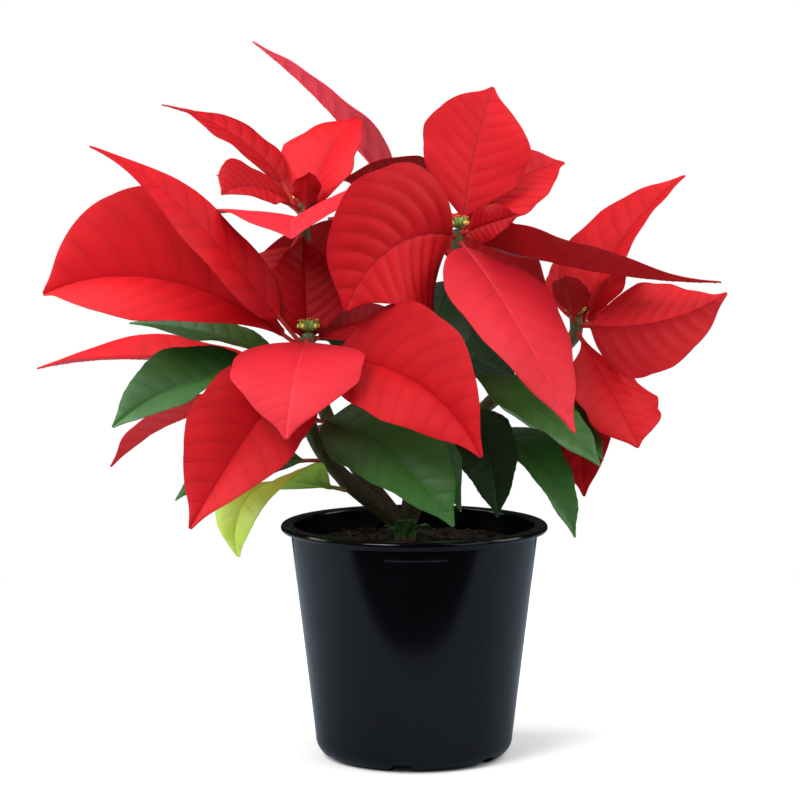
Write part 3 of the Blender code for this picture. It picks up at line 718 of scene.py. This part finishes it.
def bracts():
    """The red leaves under each flower head: branch, height, bearing, rise, arch, length, width."""
    # Finish deep is painted shade for bracts that hang in shade.
    # Finish rose is painted sheen for bracts that catch the light.
    bract("a1", "a", 239, -97, -7, 47, 88, 72, fold=2, belly=38, late=1.0, stalk=4, finish="rose",
          quilt=0.35)
    bract("a2", "a", 233, -29, -5, 47, 114, 77, roll=-40, fold=27, belly=36, late=1.3, stalk=14,
          sweep=-21, twist=-20, quilt=0.3)
    bract("a3", "a", 231, -127, -38, 19, 115, 67, roll=30, fold=18, belly=40, stalk=5, sweep=-20,
          twist=5, quilt=0.35)
    bract("a4", "a", 236, 179, 35, 61, 140, 98, roll=56, fold=32, belly=56, late=1.3, stalk=13,
          sweep=-10, twist=-5, quilt=0.6)
    bract("a5", "a", 238, 201, 50, 28, 140, 48, roll=50, fold=3, belly=32, late=2.6, stalk=20, sweep=-16,
          twist=-30, quilt=0.5)
    bract("a6", "a", 240, 32, 16, 10, 54, 34, roll=-30, fold=10, stalk=3, finish="deep")
    bract("a7", "a", 213, 151, 10, 24, 158, 48, roll=2, fold=18, stalk=18, twist=14)
    bract("a8", "a", 203, 153, -3, 41, 118, 40, roll=-6, fold=18, stalk=17, sweep=-4)
    bract("a9", "a", 236, 100, 80, 18, 58, 44, fold=16, stalk=4, finish="deep")
    bract("b1", "b", 294, -127, 12, 82, 95, 86, roll=96, fold=3, belly=43, stalk=2, sweep=-24, twist=-34,
          quilt=1.5)
    bract("b2", "b", 290, -63, -25, 33, 135, 69, roll=6, fold=2, belly=38, late=0.7, stalk=5, sweep=22,
          twist=-8, finish="rose", quilt=0.8)
    bract("b3", "b", 296, 67, 70, 22, 82, 62, roll=-35, fold=6, belly=48, stalk=9, sweep=-4, quilt=0.35)
    bract("b4", "b", 294, -15, -15, -16, 134, 55, roll=33, fold=15, belly=30, late=1.4, stalk=12,
          twist=-28, finish="deep")
    bract("b5", "b", 292, 51, 40, 36, 84, 46, roll=-37, fold=16, stalk=10, sweep=-13, quilt=0.8)
    bract("b6", "b", 296, -42, 18, 4, 38, 21, roll=-77, fold=11, stalk=4, finish="deep", quilt=0.9)
    bract("c1", "c", 243, 25, 76, 42, 99, 60, roll=-3, fold=20, belly=30, late=0.7, stalk=6, sweep=-7,
          twist=-13, quilt=0.8)
    bract("c2", "c", 242, -35, 0, -36, 86, 58, roll=107, fold=14, belly=38, late=1.4, stalk=6, sweep=17,
          twist=23)
    bract("c3", "c", 238, -61, -40, 7, 82, 55, roll=26, fold=3, belly=57, stalk=2, twist=-38, lobe=0.1,
          quilt=0.5)
    bract("c4", "c", 231, -72, -63, 22, 75, 42, roll=-42, stalk=11)
    bract("c5", "c", 242, 48, 6, 38, 96, 54, fold=14, stalk=9)
    bract("c6", "c", 246, -105, 58, 30, 34, 22, fold=14, stalk=3, finish="deep")
    bract("c7", "c", 236, 72, 50, 24, 72, 48, fold=12, stalk=9)
    bract("d1", "d", 302, -97, 6, 21, 93, 85, roll=-12, fold=15, belly=41, late=1.3, stalk=7, sweep=11,
          twist=9, finish="rose")
    bract("d2", "d", 304, 50, 71, 50, 68, 66, roll=5, fold=14, belly=41, late=1.5, stalk=2, lobe=0.07,
          quilt=0.35)
    bract("d3", "d", 308, 148, 55, 43, 88, 38, roll=13, fold=5, belly=41, late=0.7, stalk=17, sweep=20,
          twist=-15, finish="deep")
    bract("d4", "d", 308, -146, 31, 52, 55, 42, roll=32, fold=11, belly=47, stalk=6, sweep=24,
          finish="deep")
    bract("d5", "d", 304, 118, 22, 40, 90, 52, fold=14, stalk=10)
    bract("d6", "d", 307, -78, 70, 20, 22, 17, stalk=3, finish="deep")
    bract("d7", "d", 292, -124, -42, 8, 57, 52, fold=12, stalk=9, finish="deep")
    bract("e1", "e", 291, 178, 62, 25, 118, 46, roll=-26, fold=14, belly=34, late=0.7, stalk=26,
          twist=13, finish="rose")
    bract("e2", "e", 287, 72, 16, 42, 98, 58, fold=13, stalk=10)
    bract("e3", "e", 281, -16, -5, 30, 66, 54, roll=60, fold=13, stalk=10, finish="deep")
    bract("e4", "e", 285, 116, 12, 38, 96, 56, fold=14, stalk=12)
    bract("e5", "e", 287, 247, 62, 76, 79, 51, roll=114, fold=12, belly=40, stalk=4, sweep=-30, twist=14,
          finish="deep", quilt=0.9)
    bract("e6", "e", 278, -168, -5, 25, 105, 58, roll=-60, fold=12, stalk=12, finish="deep")


def leaves():
    """The green leaves lower down: branch, height, bearing, rise, arch, length, width."""
    # Finish dark is painted shade for leaves that sit under the bracts.
    leaf("leaf_1", "a", 218, -179, 8, 48, 91, 50, roll=16, fold=20, belly=47, late=0.8, stalk=19,
         sweep=13, twist=32)
    leaf("leaf_2", "a", 224, 167, 22, 24, 86, 38, roll=8, fold=10, stalk=15, twist=15)
    leaf("leaf_3", "a", 157, -137, 13, 140, 103, 53, finish="pale", roll=-29, fold=6, belly=47, late=2.6,
         stalk=11, sweep=18, twist=28)
    leaf("leaf_4", "d", 169, 176, 0, 46, 79, 37, roll=40, fold=12, belly=46, late=1.5, stalk=22, sweep=-8)
    leaf("leaf_5", "a", 195, -36, -6, 50, 99, 66, roll=-26, fold=21, belly=39, late=0.9, stalk=8,
         sweep=9, twist=-20)
    leaf("leaf_6", "b", 188, -79, -22, 43, 53, 26, roll=-66, fold=16, stalk=15, sweep=8)
    leaf("leaf_7", "b", 205, -51, -26, 59, 67, 36, roll=-31, fold=15, late=0.8, stalk=15, sweep=-15,
         finish="dark")
    leaf("leaf_8", "b", 223, -36, -17, 22, 94, 46, roll=-1, fold=11, late=0.9, stalk=15, twist=-19)
    leaf("leaf_9", "c", 193, -40, -25, 38, 80, 35, roll=-7, fold=24, belly=39, late=0.9, stalk=14,
         sweep=-8, twist=-8)
    leaf("leaf_10", "c", 211, -50, -20, 24, 60, 28, roll=3, stalk=18)
    leaf("leaf_11", "e", 225, 100, 5, 42, 104, 60, fold=14, stalk=16)
    leaf("leaf_12", "e", 226, -35, -5, 20, 50, 50, roll=60, fold=14, stalk=12, finish="dark")
    leaf("leaf_13", "d", 234, -8, -4, 30, 60, 46, roll=66, fold=12, stalk=8, finish="dark")
    leaf("leaf_14", "c", 200, 62, -8, 44, 88, 50, fold=14, stalk=14)
    leaf("leaf_15", "e", 188, 78, -18, 30, 78, 46, fold=14, stalk=14)
    leaf("leaf_16", "d", 186, 122, -12, 36, 82, 48, fold=14, stalk=14)
    leaf("leaf_17", "b", 274, -108, -36, 40, 74, 46, fold=14, stalk=7, finish="dark")


def shoot():
    """A small green side shoot at the foot of the stem: three little leaves from one point."""
    x, y = BRANCHES["a"][0][1:]
    foot = np.array([x - 1.0, y - TRUNK_RADIUS - 1.0, SOIL_TOP + SOIL_MOUND])
    small = dict(fold=14, lobe=0.02, finish="green", slot="leaf", quilt=0.2, wave=0.6, foot=foot, node=False)
    blade("shoot_leaf_1", "a", 0, -80, 70, 60, 19, 12, stalk=3, **small)
    blade("shoot_leaf_2", "a", 0, -15, 55, 50, 15, 9, stalk=4, **small)
    blade("shoot_leaf_3", "a", 0, -165, 62, 50, 13, 7, stalk=3, **small)


# Pot

def arc(centre, radius, first, last, steps):
    """(radius, height) points on a circle, from a first angle to a last one in degrees."""
    turn = np.radians(np.linspace(first, last, steps))
    return [(centre[0] + radius * np.cos(a), centre[1] + radius * np.sin(a)) for a in turn]


def wall_radius(z):
    """Outer radius of the pot's straight taper at a height."""
    share = (z - CORNER_RADIUS) / (POT_HEIGHT - LIP_DEPTH - CORNER_RADIUS)
    return FOOT_RADIUS + (NECK_RADIUS - FOOT_RADIUS) * share


def pot_profile():
    """Half section from the middle of the pot's underside, round its lip, to the middle of its floor."""
    top, lip = POT_HEIGHT, LIP_DEPTH / 2
    neck = top - LIP_DEPTH
    profile = [(0.4, 0), (CENTRE_PAD_RADIUS - 0.6, 0), (CENTRE_PAD_RADIUS, 0.5)]
    profile += [(CENTRE_PAD_RADIUS + 1.6, FLOOR_UNDER - 0.4), (CENTRE_PAD_RADIUS + 2.4, FLOOR_UNDER)]
    profile += [(r, FLOOR_UNDER) for r in np.linspace(CENTRE_PAD_RADIUS + 6, FOOT_RING_INNER - 0.6, 8)]
    profile += [(FOOT_RING_INNER + 0.4, FLOOR_UNDER - 0.6), (FOOT_RING_INNER + 1.8, 0.3)]
    profile += arc((FOOT_RADIUS - CORNER_RADIUS, CORNER_RADIUS), CORNER_RADIUS, -90, 0, 14)
    profile += [(wall_radius(z), z) for z in np.linspace(CORNER_RADIUS + 4, neck - 12, 14)]
    profile += [(wall_radius(z), z) for z in np.linspace(neck - 11, neck - 3, 17)]
    profile += arc((wall_radius(neck - 2.2) + 2.0, neck - 2.0), 2.0, 180, 100, 6)
    profile += [(RIM_RADIUS - lip - 1.2, neck - 0.05)]
    profile += arc((RIM_RADIUS - lip, top - lip), lip, -90, 90, 12)
    profile += [(NECK_RADIUS - WALL + 2.2, top)]
    profile += arc((NECK_RADIUS - WALL + 1.6, top - 1.6), 1.6, 100, 180, 5)
    profile += [(wall_radius(z) - WALL, z) for z in np.linspace(neck - 0.5, FLOOR_TOP + 7, 12)]
    profile += [(FOOT_RADIUS - 5.5, FLOOR_TOP + 2), (FOOT_RADIUS - 10, FLOOR_TOP), (0.4, FLOOR_TOP)]
    return np.array(profile)


def angle_off(turn, bearing):
    """How far a turn is from a bearing, the short way round, in radians."""
    return np.abs((turn - bearing + np.pi) % (2 * np.pi) - np.pi)


def soft_step(distance, steepness):
    """From 0 to 1 as a distance passes 0: 1 / (1 + exp(-distance steepness))."""
    return 1 / (1 + np.exp(-distance * steepness))


def pot():
    """The pot's half section turned through 360 degrees: r cos a, r sin a, z.

    The foot ring and the corner above it lift to the height of an arch near each notch, and the wall under
    the lip swells outwards by the bare panel's relief.
    """
    profile = pot_profile()
    turn = 2 * np.pi * np.arange(POT_SIDES) / POT_SIDES
    radius = np.broadcast_to(profile[:, None, 0], (len(profile), POT_SIDES)).copy()
    height = np.broadcast_to(profile[:, None, 1], radius.shape).copy()
    row = np.arange(len(profile))
    notches = np.radians(NOTCH_BEARING + 360 / NOTCHES * np.arange(NOTCHES))
    away = angle_off(turn[:, None], notches[None]).min(1) * FOOT_RADIUS
    arch = NOTCH_HEIGHT * np.clip(1 - (away / (NOTCH_WIDTH / 2)) ** 2, 0, 1) ** 0.42
    foot = (profile[:, 0] > FOOT_RING_INNER) & (profile[:, 1] < NOTCH_HEIGHT) & (row < len(profile) // 2)
    height[foot] = np.maximum(height[foot], arch[None])
    neck = POT_HEIGHT - LIP_DEPTH
    low = neck - PANEL_DROP
    wall = (profile[:, 1] > low - 2) & (profile[:, 1] < neck - 2.5) & (row < np.argmax(profile[:, 1]))
    off = angle_off(turn, radians(PANEL_BEARING)) / radians(PANEL_HALF_ANGLE)
    swell = soft_step(profile[wall, 1] - low, 4)[:, None] * soft_step(1 - off, 60)[None]
    radius[wall] += PANEL_RELIEF * swell
    points = np.stack([radius * np.cos(turn), radius * np.sin(turn), height], -1)
    piece("nursery_pot", [tube(points)], [pot_finish()], "pot")


# Soil

def soil_height(x, y):
    """Uneven surface of the potting mix: a low mound with a few broad lumps."""
    r = np.hypot(x, y) / NECK_RADIUS
    lumps = np.sin(0.19 * x + 1.3) * np.cos(0.16 * y + 0.4) + 0.6 * np.sin(0.31 * y - 0.12 * x + 2.0)
    return SOIL_TOP + SOIL_MOUND * (1 - r**2) + SOIL_ROUGHNESS * lumps * (1 - r**4)


def crumb_height(draw, east, north, rim):
    """Crumbs over the lumps: each adds a bell curve of its own width and height at a place of its own."""
    far_out = rim * np.sqrt(draw.uniform(0, 1, CRUMBS))
    bearing = draw.uniform(0, 2 * np.pi, CRUMBS)
    wide = draw.uniform(1.0, 3.4, CRUMBS)
    tall = draw.uniform(0.35, 1.3, CRUMBS) * draw.choice([-0.6, 1.0], CRUMBS)
    crumbs = np.zeros_like(east)
    for r, a, spread, rise in zip(far_out, bearing, wide, tall):
        apart = (east - r * np.cos(a)) ** 2 + (north - r * np.sin(a)) ** 2
        crumbs += rise * np.exp(-apart / spread**2)
    return crumbs


def chips(draw, rim):
    """Bits of bark and peat on the mix: boxes with their corners pulled about, each turned its own way."""
    cube = np.array([(a, b, c) for a in (-1, 1) for b in (-1, 1) for c in (-1, 1)], float)
    faces = np.array([(0, 1, 3, 2), (4, 6, 7, 5), (0, 4, 5, 1), (2, 3, 7, 6), (0, 2, 6, 4), (1, 5, 7, 3)])
    made = []
    for _ in range(CHIPS):
        spot = (rim - 3) * np.sqrt(draw.uniform(0.02, 1))
        bearing, turn, lean = draw.uniform(0, 2 * np.pi, 3)
        size = draw.uniform(0.5, 1.0, 3) * (2.4, 1.3, 0.8)
        corner = cube * size * draw.uniform(0.55, 1.1, (8, 1))
        corner[:, 2] += corner[:, 0] * 0.5 * np.sin(lean)
        x, y = spot * np.cos(bearing), spot * np.sin(bearing)
        east = corner[:, 0] * np.cos(turn) - corner[:, 1] * np.sin(turn) + x
        north = corner[:, 0] * np.sin(turn) + corner[:, 1] * np.cos(turn) + y
        made.append((np.stack([east, north, corner[:, 2] + soil_height(x, y) + 0.7], -1), faces))
    return made


def soil():
    """The mix as a closed grid, with loose chips on it.

    Its rings run from the stem's hole out to the wall over the lumps and crumbs, then down the wall to the
    floor and back to the hole. Every place is drawn with one fixed seed.
    """
    draw = np.random.default_rng(7)
    x, y = BRANCHES["a"][0][1:]
    hole = TRUNK_RADIUS + 0.1
    rim = wall_radius(SOIL_TOP - 1) - WALL - GAP
    turn = 2 * np.pi * np.arange(SOIL_SIDES) / SOIL_SIDES
    share = np.linspace(0, 1, SOIL_STEPS)[:, None]
    east = (1 - share) * (x + hole * np.cos(turn)) + share * rim * np.cos(turn)
    north = (1 - share) * (y + hole * np.sin(turn)) + share * rim * np.sin(turn)
    height = soil_height(east, north) + crumb_height(draw, east, north, rim)
    rings = [np.stack([east, north, height], -1)]
    low = FLOOR_TOP + 8
    floor = FLOOR_TOP + GAP
    down = (
        (SOIL_TOP - 6, rim), (low, wall_radius(low) - WALL - 0.7), (floor, FOOT_RADIUS - 11), (floor, hole))
    for z, radius in down:
        rings.append(np.stack([radius * np.cos(turn), radius * np.sin(turn), 0 * turn + z], -1)[None])
    body = np.concatenate(rings)
    quads = grid_quads(len(body) + 1, SOIL_SIDES) % (len(body) * SOIL_SIDES)
    shells = [(body.reshape(-1, 3), quads)] + chips(draw, rim)
    piece("potting_mix", shells, [soil_finish()], "soil")


# Flower heads

def round_shell(centre, along, profile, sides, ruffle=0.0):
    """A profile of (radius, height) turned about an axis, its radius ruffled five times round."""
    along = np.array(along, float) / np.linalg.norm(along)
    profile = np.array(profile, float)
    turn = 2 * np.pi * np.arange(sides) / sides
    radius = profile[:, :1] * (1 + ruffle * np.cos(5 * turn)[None])
    centres = np.array(centre, float) + profile[:, 1:] * along
    return tube(ring(centres, np.tile(along, (len(profile), 1)), np.array([1.0, 0.2, 0.1]), radius, sides))


def urn_shells(centre, lean, height, facing):
    """A flower cup with a ruffled mouth, one fat yellow gland on its side, and a few short stamens.

    facing is the gland's bearing in radians. Each shell comes with its finish: 0 cup, 1 gland or 2 stamen.
    """
    along = np.array(lean, float) / np.linalg.norm(lean)
    up = np.linspace(0, 1, 13)
    fat = smooth(((0.0, 0.5), (0.25, 0.86), (0.5, 1.0), (0.8, 0.78), (1.0, 0.62)), up)
    cup = list(zip(URN_RADIUS * fat, height * up))
    cup += [(URN_RADIUS * 0.48, height), (URN_RADIUS * 0.3, height - 0.6)]
    shells = [(round_shell(centre, along, cup, 20, 0.05), 0)]
    out = np.array([np.cos(facing), np.sin(facing), 0.25])
    out -= along * (out @ along)
    out /= np.linalg.norm(out)
    gland = [(1.25 * np.sin(a), 0.9 - 0.9 * np.cos(a)) for a in np.linspace(0.15, np.pi - 0.15, 9)]
    side = np.array(centre) + along * height * 0.66 + out * URN_RADIUS * 0.62
    shells.append((round_shell(side, out * 0.8 + along * 0.6, gland, 16, 0.08), 1))
    stamen = [(0.16, 0.0), (0.14, 1.4), (0.34, 1.7), (0.36, 2.0), (0.12, 2.3)]
    for k in range(4):
        turn = facing * 3 + 1.7 * k
        spread = np.array([np.cos(turn), np.sin(turn), 0]) * 0.35
        root = np.array(centre) + along * (height - 0.7) + spread
        shells.append((round_shell(root, along + spread, stamen, 8), 2))
    return shells


def flower_head(branch, finishes):
    """The true flowers: a tight group of small cups on the end of a branch, one amid a ring of others."""
    z, x, y = BRANCHES[branch][-1]
    top = np.array([x, y, z + GAP], float)
    upright = np.array([0, 0, 1])
    shells = urn_shells(top, upright, URN_HEIGHT, 0.9)
    for k in range(URNS_AROUND):
        turn = 2 * np.pi * k / URNS_AROUND + 0.4
        out = np.array([np.cos(turn), np.sin(turn), 0])
        tall = URN_HEIGHT * (0.9 + 0.14 * np.sin(5 * k))
        shells += urn_shells(top + out * 1.6 + upright * 1.1, out * 0.75 + upright, tall, turn)
    looks = np.concatenate([np.full(len(shell[1]), look) for shell, look in shells])
    shapes = [shell for shell, look in shells]
    piece("flowers_" + branch, shapes, finishes, "cyathia_" + branch, looks=looks)


def flower_heads():
    """A group of flowers on the end of every branch, in three finishes."""
    finishes = [
        soft_growth("green cups", (0.10, 0.19, 0.03), (0.20, 0.30, 0.05), 0.45),
        soft_growth("yellow glands", (0.62, 0.46, 0.05), (0.75, 0.60, 0.12), 0.30),
        soft_growth("red stamens", (0.42, 0.02, 0.01), (0.65, 0.35, 0.05), 0.45),
    ]
    for branch in BRANCHES:
        flower_head(branch, finishes)


# Table, light and camera

def table_top():
    """A flat rectangle that the pot stands on."""
    mesh = bpy.data.meshes.new("table")
    corners = [(-TABLE_HALF_WIDTH, TABLE_FRONT, 0), (TABLE_HALF_WIDTH, TABLE_FRONT, 0),
               (TABLE_HALF_WIDTH, TABLE_BACK, 0), (-TABLE_HALF_WIDTH, TABLE_BACK, 0)]
    mesh.from_pydata(corners, [], [(0, 1, 2, 3)])
    made = bpy.data.objects.new("table", mesh)
    bpy.context.scene.collection.objects.link(made)
    mesh.materials.append(table_finish())


def soft_light(name, place, target, width, height, watts):
    """A rectangular soft box that faces its target."""
    light = bpy.data.lights.new(name, "AREA")
    light.shape = "RECTANGLE"
    light.size = width
    light.size_y = height
    light.energy = watts
    made = bpy.data.objects.new(name, light)
    made.location = place
    away = Vector(place) - Vector(target)
    made.rotation_euler = away.to_track_quat("Z", "Y").to_euler()
    bpy.context.scene.collection.objects.link(made)


def studio():
    """A white room that lights softly and looks white, but is dim in mirrors, and five soft boxes."""
    world = bpy.data.worlds.new("studio")
    bpy.context.scene.world = world
    world.use_nodes = True
    tree = world.node_tree
    tree.nodes.clear()
    path = add(tree, "LightPath").outputs
    seen = add(tree, "Background", {0: (1.0, 1.0, 1.0, 1.0), 1: 1.0}).outputs[0]
    lit = add(tree, "Background", {0: (1.0, 1.0, 1.0, 1.0), 1: ROOM_GLOW}).outputs[0]
    mirrored = add(tree, "Background", {0: (0.9, 0.95, 1.0, 1.0), 1: MIRRORED_GLOW}).outputs[0]
    unseen = add(tree, "MixShader", {0: path["Is Glossy Ray"], 1: lit, 2: mirrored}).outputs[0]
    room = add(tree, "MixShader", {0: path["Is Camera Ray"], 1: unseen, 2: seen}).outputs[0]
    add(tree, "OutputWorld", {0: room})
    middle = (0.0, 0.0, 0.25)
    soft_light("over", (0.0, -0.1, 1.7), middle, 1.4, 1.4, 17)
    soft_light("key", (-0.8, -1.2, 1.35), middle, 0.7, 0.7, 20)
    soft_light("fill", (1.2, -1.0, 0.8), middle, 0.8, 1.0, 4)
    soft_light("left", (-0.62, 0.0, 0.42), (-0.40, 0.0, 0.0), 0.3, 0.9, 5)
    soft_light("right", (0.66, 0.0, 0.42), (0.44, 0.0, 0.0), 0.3, 0.9, 3.5)
    bpy.context.scene.view_settings.view_transform = "Standard"
    bpy.context.scene.view_settings.look = "None"


def camera():
    """The photograph's view: level from side to side, and dipped a little towards the pot."""
    lens = bpy.data.cameras.new("camera")
    lens.lens = CAMERA_LENS
    lens.sensor_width = CAMERA_SENSOR
    made = bpy.data.objects.new("camera", lens)
    made.location = CAMERA_PLACE
    made.rotation_euler = (radians(90.0 - CAMERA_DIP), 0.0, 0.0)
    bpy.context.scene.collection.objects.link(made)
    bpy.context.scene.camera = made


camera()
studio()
table_top()
pot()
soil()
bracts()
leaves()
shoot()
stems()
flower_heads()
